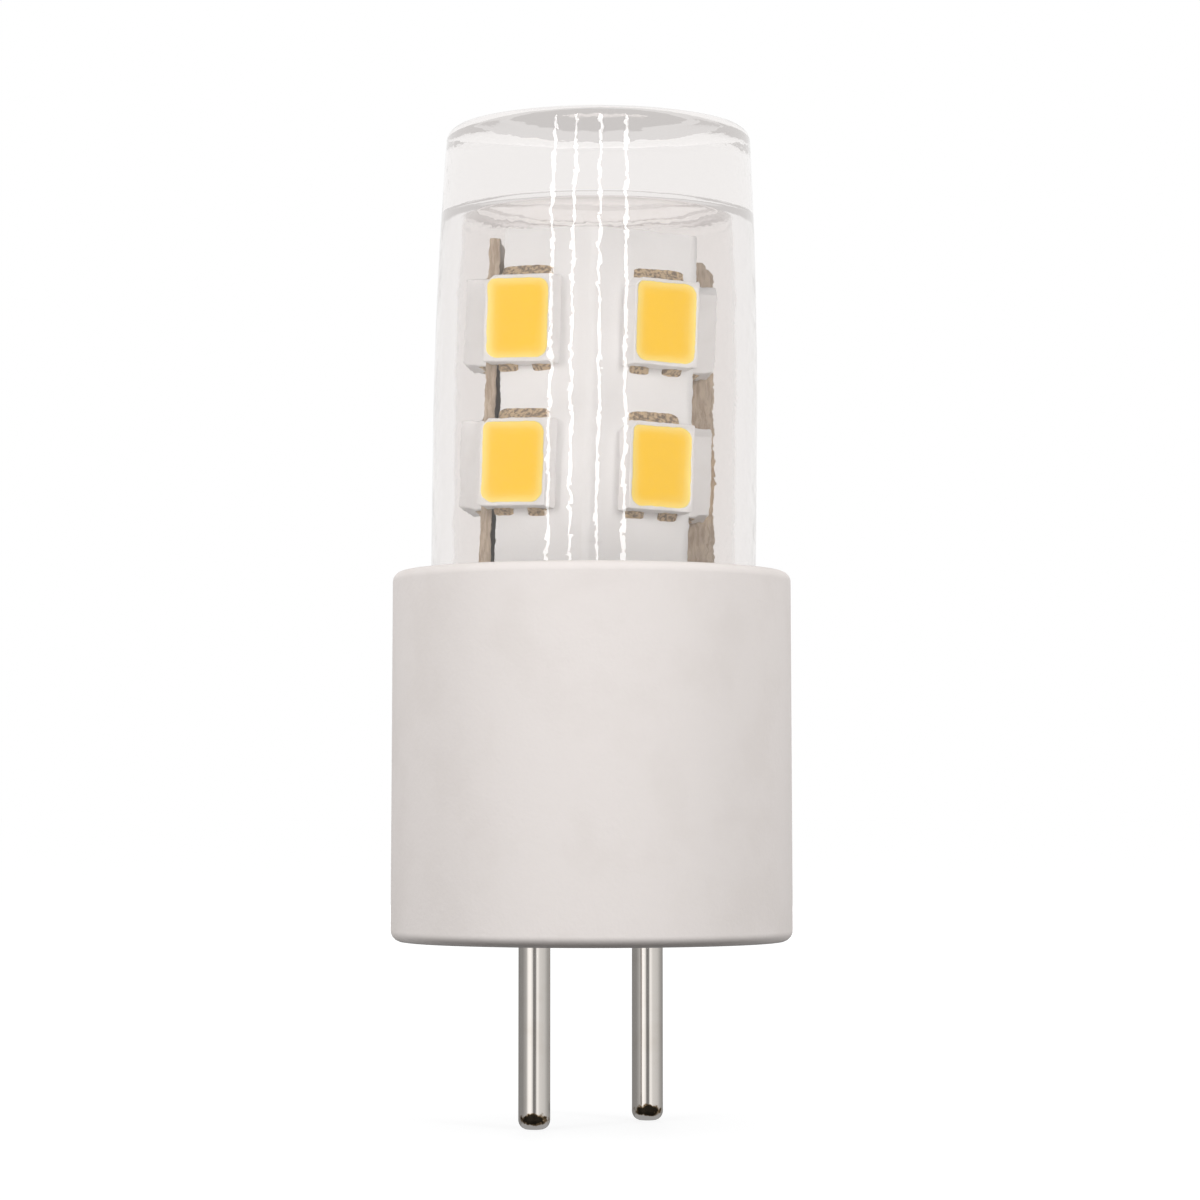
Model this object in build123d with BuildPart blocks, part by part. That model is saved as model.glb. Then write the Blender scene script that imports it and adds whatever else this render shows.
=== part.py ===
from build123d import *
import os
from math import cos, radians, sin, sqrt, tan

os.makedirs("parts", exist_ok=True)

# Bi-pin bulb. Millimetres, +Z up to the light. The origin is the middle of the
# base's underside, between the two pins, which stand on the X axis and point down.

# Ceramic base
mouth_wall = 1.4  # ceramic round the mouth
base_draft = 0.2  # degrees that the side leans in towards the mouth
foot_edge = 0.45  # bevel of the foot
mouth_edge = 0.3  # bevel of the mouth's outer edge
floor_t = 2.2
mouth_depth = 2.6  # from the top of the base down to the ledge
ledge_w = 1.0
mouth_lip = 0.25  # lead-in round the mouth
cavity_bevel = 0.4

# Contact pins
pin_pitch = 6.35
pin_d = 1.25
pin_len = 7.25  # below the base
pin_tip_flat = 0.25  # radius left flat at the rounded tip
shank_step = 0.1  # the shank in the floor is this much wider all round
shank_fit = 0.04  # play round the shank in its hole
flange_w = 0.45
flange_t = 0.5
shoulder_w = 0.3  # step that the driver board rests on
tail_proud = 0.5
tail_fit = 0.05
solder_w = 0.5

# Clear cover
cover_d = 13.0  # across the foot
cover_straight_h = 7.1  # straight side above the foot
cover_draw_in = 0.42  # how far the side draws in from there to the top
cover_wall = 0.85
cover_top_t = 3.3
cover_fit = 0.1  # play between the cover and the mouth
rim_bevel = 0.35
dish_d = 7.6  # across the mouth of the top's dish
dish_floor_d = 6.0
dish_depth = 0.75
ceiling_bevel = 0.5
ceiling_gap = 1.2  # from the folded panel up to the cover's ceiling

# Mount disc
disc_t = 0.8
disc_edge = 0.12

# Light-emitting packages
led_w = 2.8
led_h = 3.5
led_t = 0.8
led_parting_t = 0.3
led_draft = 5.0  # degrees above the parting line
led_notch = 0.35
window_w = 2.5
window_h = 3.15
window_corner = 0.35
window_depth = 0.35
window_slope = 25.0  # degrees of the cup's sides
phosphor_dip = 0.05
led_low_h = 5.82  # lower row above the disc
led_row_pitch = 5.64
led_front_shift = 1.06  # out along a front facet from its point nearest the axis
led_side_shift = 0.4  # forward along a side
led_rear_offset = 2.3

# Light column, folded panel in front, strip on its left and flat board behind
column_turn = -44.0  # degrees about Z from the pins' line to the column's right
column_lean = 1.8  # degrees, the panel's top leaning to its right
column_shift = -0.4  # of the panel's foot
panel_angle = 25.0  # degrees that each front facet turns back from the fold
panel_t = 0.4
panel_head = 1.9  # board above the upper packages
panel_fold_r = 0.05  # inside the folds
seam_half_w = 3.42  # from the fold across to the panel's free left end
led_fit = 0.34  # room between the front packages and the cover
side_fit = 0.05  # room between the side packages and the cover
strip_drop = 0.35  # how much lower than the panel the side strip ends
back_fit = 0.1  # room between the flat board's right edge and the cover
back_gap = 1.0  # from the axis back to the flat board
back_t = 0.4
back_drop = 0.7  # how much lower than the panel the flat board ends
back_corner = 0.5
foot_cut = 1.0  # extra length below the disc, trimmed flush on it

# Solder at the packages and at the column's foot
joint_w = 2.1
joint_foot = 0.42
joint_rise = 0.3
lump_w = 0.7
lump_offset = 0.7
lump_foot = 0.34
foot_joint_w = 1.2
foot_joint_rise = 0.8
foot_joint_out = 0.5
foot_joint_offset = 2.6

# Driver
driver_lift = 2.4  # from the floor up to the board
driver_t = 0.8
driver_fit = 0.15
can_d = 3.7
can_h = 5.0
can_headroom = 1.7
can_plinth_h = 0.8
can_plinth_chamfer = 0.7
can_bead_h = 2.0
can_bead_w = 0.5
can_bead_depth = 0.2
can_edge = 0.3
coil_d = 3.8
coil_h = 3.2
coil_core_d = 2.0
coil_flange_t = 0.6
winding_inset = 0.2
edge_gap = 0.45  # from the can and the coil out to the board's edge
rectifier_l = 3.6
rectifier_w = 2.4
rectifier_h = 1.3
rectifier_offset = 2.4
chip_l = 2.9
chip_w = 1.6
chip_h = 1.0
chip_offset = -2.4
ic_draft = 6.0  # degrees
leg_w = 0.4
leg_t = 0.15
leg_out = 0.55
chip_leg_pitch = 0.95
rectifier_leg_pitch = 2.2
resistor_l = 1.6
resistor_w = 0.8
resistor_h = 0.45
filter_l = 2.0
filter_w = 1.25
filter_h = 0.95
end_cap_l = 0.35
end_cap_t = 0.03
chip_gap = 0.15  # from the small parts to the can, the coil and the pins' solder
feed_d = 0.6
feed_tip = 0.15
feed_inset = 1.04  # from the cavity's wall in to the feed wires
feed_spread = 10.5  # degrees, each side of straight behind the column
feed_proud = 0.4
feed_fit = 0.05

# Heights that follow, from the base's underside up
driver_z = floor_t + driver_lift
driver_top_z = driver_z + driver_t
ledge_z = driver_top_z + can_h + can_headroom
base_h = ledge_z + mouth_depth
disc_top_z = ledge_z + disc_t
panel_h = led_low_h + led_row_pitch + led_h / 2 + panel_head
back_h = panel_h - back_drop
cover_h = panel_h + ceiling_gap + cover_top_t
cover_top_z = disc_top_z + cover_h
ceiling_z = cover_top_z - cover_top_t

# Radii that follow
mouth_r = cover_d / 2 + cover_fit
base_r = mouth_r + mouth_wall
cavity_r = mouth_r - ledge_w
driver_r = cavity_r - driver_fit
shank_r = pin_d / 2 + shank_step
tail_r = shank_r - shoulder_w
pin_xs = {"left": -pin_pitch / 2, "right": pin_pitch / 2}


def cover_r(z, inset=0.0):
    """Radius of the cover's side at height z, inset by a wall."""
    drawn = max(0.0, z - disc_top_z - cover_straight_h) / (cover_h - cover_straight_h)
    return cover_d / 2 - inset - cover_draw_in * drawn


# The column's plan follows from the cover's bore at the top of the panel
bore_r = cover_r(disc_top_z + panel_h, cover_wall)
low_shift = column_shift + led_low_h * sin(radians(column_lean))
panel_front_d = sqrt((bore_r - led_fit) ** 2 - (led_w / 2 + led_front_shift) ** 2) - led_t
side_reach = sqrt((bore_r - side_fit) ** 2 - (led_w / 2 + led_side_shift) ** 2)
panel_side_d = side_reach - led_t - abs(low_shift)
back_right_w = sqrt((bore_r - back_fit) ** 2 - (back_gap + back_t) ** 2)
facet_slope = tan(radians(panel_angle))
fold_y = -panel_front_d / cos(radians(panel_angle))
corner_y = fold_y + panel_side_d * facet_slope
seam_y = fold_y + seam_half_w * facet_slope


def save(builder, name):
    """Label a finished piece and write it to its own file."""
    builder.part.label = name
    export_step(builder.part, f"parts/{name}.step")


# Ceramic base: a drafted cup with a stepped mouth and two holes in its floor
with BuildPart() as base_shell:
    top_r = base_r - base_h * tan(radians(base_draft))
    with BuildSketch(Plane.XZ) as base_profile:
        with BuildLine():
            Polyline(
                (0, 0),
                (base_r, 0),
                (top_r, base_h),
                (mouth_r, base_h),
                (mouth_r, ledge_z),
                (cavity_r, ledge_z),
                (cavity_r, floor_t),
                (0, floor_t),
                close=True,
            )
        make_face()
        for corner, bevel in (
            ((base_r, 0), foot_edge),
            ((top_r, base_h), mouth_edge),
            ((mouth_r, base_h), mouth_lip),
            ((cavity_r, floor_t), cavity_bevel),
        ):
            chamfer(base_profile.vertices().sort_by_distance(corner)[0], length=bevel)
    revolve(axis=Axis.Z)
    with Locations(*[(x, 0, floor_t) for x in pin_xs.values()]):
        Hole(radius=shank_r + shank_fit)
save(base_shell, "base_shell")


# Contact pins: turned, with a wider shank in the floor, a flange on it and a thin tail
def contact_pin(x):
    flange_r = shank_r + flange_w
    tail_top_z = driver_top_z + tail_proud
    with BuildPart() as pin:
        with BuildSketch(Plane.XZ.shift_origin((x, 0, 0))):
            with BuildLine():
                Polyline(
                    (0, -pin_len),
                    (pin_d / 2, -pin_len),
                    (pin_d / 2, 0),
                    (shank_r, 0),
                    (shank_r, floor_t),
                    (flange_r, floor_t),
                    (flange_r, floor_t + flange_t),
                    (shank_r, floor_t + flange_t),
                    (shank_r, driver_z),
                    (tail_r, driver_z),
                    (tail_r, tail_top_z),
                    (0, tail_top_z),
                    close=True,
                )
            profile = make_face()
            tip = profile.vertices().sort_by_distance((pin_d / 2, -pin_len))[0]
            fillet(tip, radius=pin_d / 2 - pin_tip_flat)
        revolve(axis=Axis((x, 0, 0), (0, 0, 1)))
    return pin


# Solder cone round a pin's tail
def pin_solder(x):
    with BuildPart() as ring:
        with BuildSketch(Plane.XZ.shift_origin((x, 0, 0))):
            with BuildLine():
                Polyline(
                    (tail_r, driver_top_z),
                    (tail_r + solder_w, driver_top_z),
                    (tail_r, driver_top_z + tail_proud),
                    close=True,
                )
            make_face()
        revolve(axis=Axis((x, 0, 0), (0, 0, 1)))
    return ring


for side, pin_x in pin_xs.items():
    save(contact_pin(pin_x), f"contact_pin_{side}")
    save(pin_solder(pin_x), f"pin_solder_{side}")

# Clear cover: a tube drawn in towards a thick top with a shallow flat-floored dish
with BuildPart() as clear_cover:
    rim_out = (cover_r(cover_top_z), cover_top_z)
    dish_floor_z = cover_top_z - dish_depth
    ceiling_in = (cover_r(ceiling_z, cover_wall), ceiling_z)
    straight_z = disc_top_z + cover_straight_h
    with BuildSketch(Plane.XZ) as cover_profile:
        with BuildLine():
            Polyline(
                (0, dish_floor_z),
                (dish_floor_d / 2, dish_floor_z),
                (dish_d / 2, cover_top_z),
                rim_out,
                (cover_r(straight_z), straight_z),
                (cover_r(disc_top_z), disc_top_z),
                (cover_r(disc_top_z, cover_wall), disc_top_z),
                (cover_r(straight_z, cover_wall), straight_z),
                ceiling_in,
                (0, ceiling_z),
                close=True,
            )
        make_face()
        for corner, bevel in ((rim_out, rim_bevel), (ceiling_in, ceiling_bevel)):
            chamfer(cover_profile.vertices().sort_by_distance(corner)[0], length=bevel)
    revolve(axis=Axis.Z)
save(clear_cover, "clear_cover")

# Feed wires stand behind the column and join the driver to the disc
behind = column_turn + 90
feed_angles = {"positive": behind - feed_spread, "negative": behind + feed_spread}


def on_ring(radius, angle):
    """Point on a circle about the bulb's axis."""
    return radius * cos(radians(angle)), radius * sin(radians(angle))


feed_spots = {name: on_ring(cavity_r - feed_inset, angle) for name, angle in feed_angles.items()}

# Mount disc: lies on the ledge, carries the column, and the cover stands on its edge
with BuildPart() as mount_disc:
    with BuildSketch(Plane.XY.offset(ledge_z)):
        Circle(cover_d / 2)
        with Locations(*feed_spots.values()):
            Circle(feed_d / 2 + feed_fit, mode=Mode.SUBTRACT)
    extrude(amount=disc_t)
    chamfer(mount_disc.edges().group_by(Axis.Z)[0].sort_by(SortBy.RADIUS)[-1], length=disc_edge)
save(mount_disc, "mount_disc")

for name, (feed_x, feed_y) in feed_spots.items():
    with BuildPart() as feed_wire:
        with BuildSketch(Plane.XY.offset(driver_top_z)):
            with Locations((feed_x, feed_y)):
                Circle(feed_d / 2)
        extrude(amount=disc_top_z + feed_proud - driver_top_z)
        chamfer(feed_wire.edges().group_by(Axis.Z)[-1], length=feed_tip)
    save(feed_wire, f"feed_wire_{name}")

# Frames of the flat board, upright on the bulb's axis, and of the panel, which leans
# X to the column's right, -Y to its front
upright = Plane(Location((0, 0, disc_top_z)) * Location((0, 0, 0), (0, 0, column_turn)))
column = Plane(upright.location * Location((column_shift, 0, 0), (0, column_lean, 0)))
disc_plane = Plane.XY.offset(disc_top_z)

# Folded panel: two front facets meeting at a fold, and an arm back to the flat board
with BuildPart() as led_panel:
    with BuildSketch(column.offset(-foot_cut)):
        with BuildLine():
            FilletPolyline(
                (-seam_half_w, seam_y),
                (0, fold_y),
                (panel_side_d, corner_y),
                (panel_side_d, back_gap),
                radius=panel_t + panel_fold_r,
            )
            offset(amount=panel_t, side=Side.LEFT)
        make_face()
    extrude(amount=panel_h + foot_cut)
    split(bisect_by=disc_plane, keep=Keep.TOP)
save(led_panel, "led_panel")

# Side strip: closes the left side, with a seam open to the panel's free end
with BuildPart() as side_strip:
    with BuildSketch(column.offset(-foot_cut)):
        with Locations((-panel_side_d, corner_y)):
            Rectangle(panel_t, back_gap - corner_y, align=(Align.MIN, Align.MIN))
    extrude(amount=panel_h - strip_drop + foot_cut)
    split(bisect_by=disc_plane, keep=Keep.TOP)
save(side_strip, "side_strip")

# Flat board behind the panel, level with the strip on its left and wider on its right, top corners cut
with BuildPart() as back_board:
    with BuildSketch(upright):
        with Locations((-panel_side_d, back_gap)):
            Rectangle(panel_side_d + back_right_w, back_t, align=(Align.MIN, Align.MIN))
    extrude(amount=back_h)
    top_face = back_board.faces().sort_by(Axis.Z)[-1]
    top_corners = top_face.edges().sort_by(SortBy.LENGTH)[:2]
    chamfer(top_corners, length=back_corner)
save(back_board, "back_board")


def facet_plane(frame, turn, out, along, up):
    """Plane on an outer face of the column, X to its right and Y up as seen from outside."""
    normal = (sin(radians(turn)), -cos(radians(turn)), 0)
    right = (cos(radians(turn)), sin(radians(turn)), 0)
    origin = (out * normal[0] + along * right[0], out * normal[1] + along * right[1], up)
    return Plane(frame.location * Plane(origin=origin, x_dir=right, z_dir=normal).location)


panel_facets = {
    "front_left": (column, -panel_angle, panel_front_d, -led_front_shift),
    "front_right": (column, panel_angle, panel_front_d, led_front_shift),
    "side_right": (column, 90, panel_side_d, -led_side_shift),
}
strip_facets = {"side_left": (column, -90, panel_side_d, led_side_shift)}
rear_facets = {
    "rear_left": (upright, 180, back_gap + back_t, led_rear_offset),
    "rear_right": (upright, 180, back_gap + back_t, -led_rear_offset),
}
led_rows = {"lower": led_low_h, "upper": led_low_h + led_row_pitch}


def led_seats(facets):
    """Named seats of the packages on some facets, row by row."""
    return {
        f"{facet}_{row}": facet_plane(*place, height)
        for facet, place in facets.items()
        for row, height in led_rows.items()
    }


def window_outline():
    """Outline of a package's window, with its corners cut."""
    with BuildSketch() as outline:
        Rectangle(window_w, window_h)
        chamfer(outline.vertices(), length=window_corner)
    return outline.sketch


# Package: moulded housing with one cut corner and a sloping cup for the phosphor
def led_housing(seat):
    with BuildPart() as housing:
        for start, rise, draft in ((0, led_parting_t, 0), (led_parting_t, led_t - led_parting_t, led_draft)):
            with BuildSketch(seat.offset(start)) as outline:
                Rectangle(led_w, led_h)
                corner = outline.vertices().sort_by_distance((-led_w, led_h))[0]
                chamfer(corner, length=led_notch)
            extrude(amount=rise, taper=draft)
        with BuildSketch(seat.offset(led_t)):
            add(window_outline())
        extrude(amount=-window_depth, taper=window_slope, mode=Mode.SUBTRACT)
    return housing


# Phosphor: fills the cup to just under its rim
def led_phosphor(seat):
    with BuildPart() as phosphor:
        with BuildSketch(seat.offset(led_t)):
            add(window_outline())
        extrude(amount=-window_depth, taper=window_slope)
        split(bisect_by=seat.offset(led_t - phosphor_dip), keep=Keep.BOTTOM)
    return phosphor


def solder_wedges(seats):
    """Solder above and below each package, sloping from its end wall to the board."""
    with BuildPart() as joints:
        for seat in seats:
            side_view = Plane(origin=seat.origin, x_dir=seat.y_dir, z_dir=seat.x_dir)
            spots = (
                (1, 0.0, joint_w, joint_foot),
                (-1, -lump_offset, lump_w, lump_foot),
                (-1, lump_offset, lump_w, lump_foot),
            )
            for up, across, width, foot in spots:
                wall = up * led_h / 2
                with BuildSketch(side_view.offset(across)):
                    with BuildLine():
                        Polyline((wall, 0), (wall + up * foot, 0), (wall, joint_rise), close=True)
                    make_face()
                extrude(amount=width / 2, both=True)
    return joints


carriers = {"panel": panel_facets, "side_strip": strip_facets, "back_board": rear_facets}
for carrier, facets in carriers.items():
    seats = led_seats(facets)
    for name, seat in seats.items():
        save(led_housing(seat), f"led_housing_{name}")
        save(led_phosphor(seat), f"led_phosphor_{name}")
    save(solder_wedges(seats.values()), f"{carrier}_solder_joints")

# Solder at the column's foot, on the disc, against the front facets and the flat board
with BuildPart() as column_solder_joints:
    for frame, turn, out, along in (
        panel_facets["front_left"],
        panel_facets["front_right"],
        (upright, 180, back_gap + back_t, foot_joint_offset),
        (upright, 180, back_gap + back_t, -foot_joint_offset),
    ):
        foot = facet_plane(frame, turn, out, along, 0)
        with BuildSketch(Plane(origin=foot.origin, x_dir=foot.z_dir, z_dir=-foot.x_dir)):
            with BuildLine():
                Polyline(
                    (0, foot_joint_rise),
                    (0, -foot_cut),
                    (foot_joint_out, -foot_cut),
                    (foot_joint_out, 0),
                    close=True,
                )
            make_face()
        extrude(amount=foot_joint_w / 2, both=True)
    split(bisect_by=disc_plane, keep=Keep.TOP)
save(column_solder_joints, "column_solder_joints")

# Driver board: a round board on the pins' shoulders
with BuildPart() as driver_board:
    with BuildSketch(Plane.XY.offset(driver_z)):
        Circle(driver_r)
        with Locations(*[(x, 0) for x in pin_xs.values()]):
            Circle(tail_r + tail_fit, mode=Mode.SUBTRACT)
    extrude(amount=driver_t)
save(driver_board, "driver_board")

# Smoothing capacitor: a beaded can on a square plinth with two cut corners
can_y = driver_r - edge_gap - can_d / 2
with BuildPart() as smoothing_capacitor:
    with BuildSketch(Plane.XY.offset(driver_top_z)) as plinth:
        with Locations((0, can_y)):
            Rectangle(can_d, can_d)
        chamfer(plinth.vertices().group_by(Axis.Y)[-1], length=can_plinth_chamfer)
    extrude(amount=can_plinth_h)
    with BuildSketch(Plane.XY.offset(driver_top_z + can_plinth_h)):
        with Locations((0, can_y)):
            Circle(can_d / 2)
    extrude(amount=can_h - can_plinth_h)
    chamfer(smoothing_capacitor.edges().group_by(Axis.Z)[-1], length=can_edge)
    with BuildSketch(Plane.XZ.offset(-can_y)):
        with Locations((can_d / 2, driver_top_z + can_bead_h)):
            Polygon((0, can_bead_w / 2), (-can_bead_depth, 0), (0, -can_bead_w / 2), align=None)
    revolve(axis=Axis((0, can_y, 0), (0, 0, 1)), mode=Mode.SUBTRACT)
save(smoothing_capacitor, "smoothing_capacitor")

# Inductor: a drum core with its winding between the flanges
coil_y = coil_d / 2 + edge_gap - driver_r
with BuildPart() as inductor_core:
    for start, diameter, height in (
        (0, coil_d, coil_flange_t),
        (coil_flange_t, coil_core_d, coil_h - 2 * coil_flange_t),
        (coil_h - coil_flange_t, coil_d, coil_flange_t),
    ):
        with BuildSketch(Plane.XY.offset(driver_top_z + start)):
            with Locations((0, coil_y)):
                Circle(diameter / 2)
        extrude(amount=height)
save(inductor_core, "inductor_core")

with BuildPart() as inductor_winding:
    with BuildSketch(Plane.XY.offset(driver_top_z + coil_flange_t)):
        with Locations((0, coil_y)):
            Circle(coil_d / 2 - winding_inset)
            Circle(coil_core_d / 2, mode=Mode.SUBTRACT)
    extrude(amount=coil_h - 2 * coil_flange_t)
save(inductor_winding, "inductor_winding")


def moulded_ic(y, length, width, height, leg_xs):
    """Moulded package under the driver board, with flat legs bent onto it."""
    with BuildPart() as package:
        with BuildSketch(Plane.XY.offset(driver_z)):
            with Locations((0, y)):
                Rectangle(length, width)
        extrude(amount=-height, taper=ic_draft)
        for leg_x in leg_xs:
            with BuildSketch(Plane.XY.offset(driver_z)):
                with Locations((leg_x, y)):
                    Rectangle(leg_w, width + 2 * leg_out)
            extrude(amount=-leg_t)
    return package


rectifier_legs = (-rectifier_leg_pitch / 2, rectifier_leg_pitch / 2)
chip_legs = (-chip_leg_pitch, 0, chip_leg_pitch)
save(moulded_ic(rectifier_offset, rectifier_l, rectifier_w, rectifier_h, rectifier_legs), "bridge_rectifier")
save(moulded_ic(chip_offset, chip_l, chip_w, chip_h, chip_legs), "driver_chip")


def chip_part(length, width, height, across, along):
    """Small two-ended part, beside a taller one and past a pin's solder."""
    x = across / 2 + chip_gap + end_cap_t + width / 2
    y = tail_r + solder_w + chip_gap + length / 2
    seat = Plane.XY.offset(driver_top_z).shift_origin((along[0] * x, along[1] * y, driver_top_z))
    with BuildPart(seat) as body:
        Box(width, length - 2 * end_cap_l, height, align=(Align.CENTER, Align.CENTER, Align.MIN))
        with GridLocations(0, length - end_cap_l, 1, 2):
            Box(
                width + 2 * end_cap_t,
                end_cap_l,
                height + end_cap_t,
                align=(Align.CENTER, Align.CENTER, Align.MIN),
            )
    return body


save(chip_part(resistor_l, resistor_w, resistor_h, coil_d, (-1, -1)), "sense_resistor")
save(chip_part(resistor_l, resistor_w, resistor_h, can_d, (-1, 1)), "bleed_resistor")
save(chip_part(filter_l, filter_w, filter_h, coil_d, (1, -1)), "filter_capacitor")
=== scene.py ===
import math

import bmesh
import bpy
from mathutils import Matrix, Vector, noise


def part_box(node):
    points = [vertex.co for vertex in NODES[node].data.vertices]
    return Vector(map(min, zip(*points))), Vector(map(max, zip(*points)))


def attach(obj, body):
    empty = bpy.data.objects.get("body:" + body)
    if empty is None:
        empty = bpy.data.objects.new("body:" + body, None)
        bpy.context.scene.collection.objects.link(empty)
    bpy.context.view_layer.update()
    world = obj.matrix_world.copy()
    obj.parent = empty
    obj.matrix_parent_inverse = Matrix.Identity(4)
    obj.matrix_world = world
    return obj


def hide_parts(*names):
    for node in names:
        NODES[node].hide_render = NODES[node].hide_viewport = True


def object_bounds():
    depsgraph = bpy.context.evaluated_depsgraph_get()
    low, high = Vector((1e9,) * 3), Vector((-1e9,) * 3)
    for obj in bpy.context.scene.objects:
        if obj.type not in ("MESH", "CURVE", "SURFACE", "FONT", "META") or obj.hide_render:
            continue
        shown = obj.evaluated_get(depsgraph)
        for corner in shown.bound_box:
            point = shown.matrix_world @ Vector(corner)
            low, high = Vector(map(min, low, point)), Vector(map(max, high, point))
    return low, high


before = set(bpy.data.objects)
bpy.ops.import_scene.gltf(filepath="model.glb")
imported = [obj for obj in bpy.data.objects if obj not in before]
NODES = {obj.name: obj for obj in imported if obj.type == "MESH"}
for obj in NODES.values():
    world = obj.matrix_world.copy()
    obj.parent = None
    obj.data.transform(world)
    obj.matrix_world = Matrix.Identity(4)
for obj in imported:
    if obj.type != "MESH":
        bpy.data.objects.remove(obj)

bl_info = {
    "name": "Bi-pin bulb",
    "version": (1, 0, 0),
    "blender": (4, 5, 0),
    "location": "3D View > Sidebar > Bulb",
    "description": "Dresses the packed bulb with its finishes, packages, solder and stage",
    "category": "Object",
}

MM = 0.001
CAD_BOX = [list(corner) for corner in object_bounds()]
PINS = ("contact_pin_left", "contact_pin_right")
FACETS = ("front_left", "front_right", "side_left", "side_right", "rear_left", "rear_right")
ROWS = ("lower", "upper")
CARRIERS = {
    "panel": ("front_left", "front_right", "side_right"),
    "side_strip": ("side_left",),
    "back_board": ("rear_left", "rear_right"),
}
WHITE = (1.0, 1.0, 1.0)
EVEN = (1.0, 1.0, 1.0)

# Ceramic base, in millimetres
FOOT_ROUND = 0.45
BASE_TAPER = 0.05
SEAT_RADIUS, SEAT_FLOOR, SEAT_EDGE = 6.6, 12.1, 0.25
BORE_RADIUS, BORE_FLOOR, BORE_EDGE, BORE_CORNER = 5.6, 2.2, 0.1, 0.4
PIN_HOLE_RADIUS, PIN_HOLE_REACH = 0.765, 5.0

# Clear cover, in millimetres: the rooms are left for the roundings of its rim and ceiling
COVER_FOOT_ROUND = 0.1
COVER_ASIDE = 0.05
RIM_ROOM, CEILING_ROOM = 1.2, 1.6

# Light-emitting packages, in millimetres: rings from the board up, and down again into the cup
PACKAGE_WIDTH, PACKAGE_HEIGHT, PACKAGE_CUT = 2.8, 3.5, 0.35
PACKAGE_RINGS = (
    # inset, corner radius, height
    (0.0, 0.06, 0.0),
    (0.0, 0.06, 0.27),
    (0.02, 0.06, 0.30),
    (0.04, 0.08, 0.755),
    (0.05, 0.08, 0.785),
    (0.075, 0.08, 0.80),
)
WINDOW_WIDTH, WINDOW_HEIGHT, WINDOW_ROUND = 2.5, 3.15, 0.45
CUP_RINGS = (
    # inset, height
    (-0.03, 0.80),
    (0.0, 0.785),
    (0.163, 0.45),
)
PHOSPHOR_LEVEL = 0.75
PHOSPHOR_RINGS = (
    # inset, height, share of the rim's colour
    (0.166, 0.452, 1.0),
    (0.012, 0.775, 1.0),
    (0.08, 0.765, 0.85),
    (0.18, 0.757, 0.55),
    (0.32, 0.752, 0.2),
    (0.6, 0.75, 0.0),
)

# Solder at each package, in millimetres
SOLDER_RISE = 0.3
SOLDER_LUMPS = 0.09
LUMPS_PER_MM = 4
BEADS = (
    # end of the package, place across it, width, foot on the board
    (1, 0.0, 2.1, 0.42),
    (-1, -0.7, 0.8, 0.26),
    (-1, 0.7, 0.8, 0.26),
)

# Driver: finish, its two shades, size of its patches in millimetres, roughness, metal,
# stretch of the patches, nodes
DRIVER = (
    ("green_board", (0.03, 0.16, 0.06), (0.05, 0.22, 0.09), 1.2, 0.45, 0.0, EVEN,
     ("driver_board",)),
    ("can_alloy", (0.70, 0.70, 0.71), (0.60, 0.60, 0.61), 0.6, 0.35, 0.9, EVEN,
     ("smoothing_capacitor",)),
    ("ferrite", (0.05, 0.05, 0.055), (0.09, 0.09, 0.09), 0.3, 0.6, 0.0, EVEN,
     ("inductor_core",)),
    ("enamelled_wire", (0.62, 0.22, 0.08), (0.45, 0.13, 0.05), 0.25, 0.3, 0.8, (8, 8, 0.5),
     ("inductor_winding",)),
    ("tinned_wire", (0.72, 0.71, 0.69), (0.60, 0.59, 0.57), 0.3, 0.3, 0.9, EVEN,
     ("feed_wire_positive", "feed_wire_negative")),
    ("moulded_epoxy", (0.02, 0.02, 0.022), (0.045, 0.045, 0.045), 0.2, 0.5, 0.0, EVEN,
     ("bridge_rectifier", "driver_chip")),
    ("chip_ceramic", (0.48, 0.34, 0.20), (0.38, 0.26, 0.15), 0.25, 0.5, 0.0, EVEN,
     ("sense_resistor", "bleed_resistor", "filter_capacitor")),
)

# Stage: bearings in degrees to the right of the camera, lengths in millimetres
FLOOR_HALF = 3000
FLOOR_GLOW = 0.82
SOFT_BOXES = (("soft_box_left", -46), ("soft_box_right", 44), ("soft_box_rear", 180))
STRIPS = (
    # bearing, width
    (-32.2, 12), (-16.8, 11), (2.0, 11), (20.6, 12),
)
STRIP_FULL_WIDTH = 12
WALL_RADIUS, WALL_LOW, WALL_HIGH = 500, -250, 12
WALL_STEPS = 180
WALL_TINT = (1.0, 0.98, 0.955)
WALL_GREYS = (
    # bearing, brightness
    (-180, 0.25), (-90, 0.3), (-58, 0.5), (-44, 1.15), (-28, 1.25), (-14, 0.9), (-7, 0.25),
    (9, 0.2), (16, 0.85), (24, 1.1), (40, 0.78), (80, 0.66), (110, 0.42), (180, 0.22),
)
APRON_GREY = 0.4


class Value:
    """A node's output socket. Sums on it add Math nodes to its tree."""

    def __init__(self, nodes, socket):
        self.nodes = nodes
        self.socket = socket

    def math(self, operation, first, second):
        return self.nodes.node("ShaderNodeMath", {"operation": operation}, {0: first, 1: second})

    def __add__(self, other):
        return self.math("ADD", self, other)

    def __sub__(self, other):
        return self.math("SUBTRACT", self, other)

    def __rsub__(self, other):
        return self.math("SUBTRACT", other, self)

    def __mul__(self, other):
        return self.math("MULTIPLY", self, other)

    __radd__ = __add__
    __rmul__ = __mul__

    def largest(self, other):
        return self.math("MAXIMUM", self, other)

    def over(self, low, high):
        """0 below low, 1 above high, smooth between."""
        return self.nodes.node(
            "ShaderNodeMapRange",
            {"interpolation_type": "SMOOTHSTEP"},
            {"Value": self, "From Min": low, "From Max": high},
        )


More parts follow.
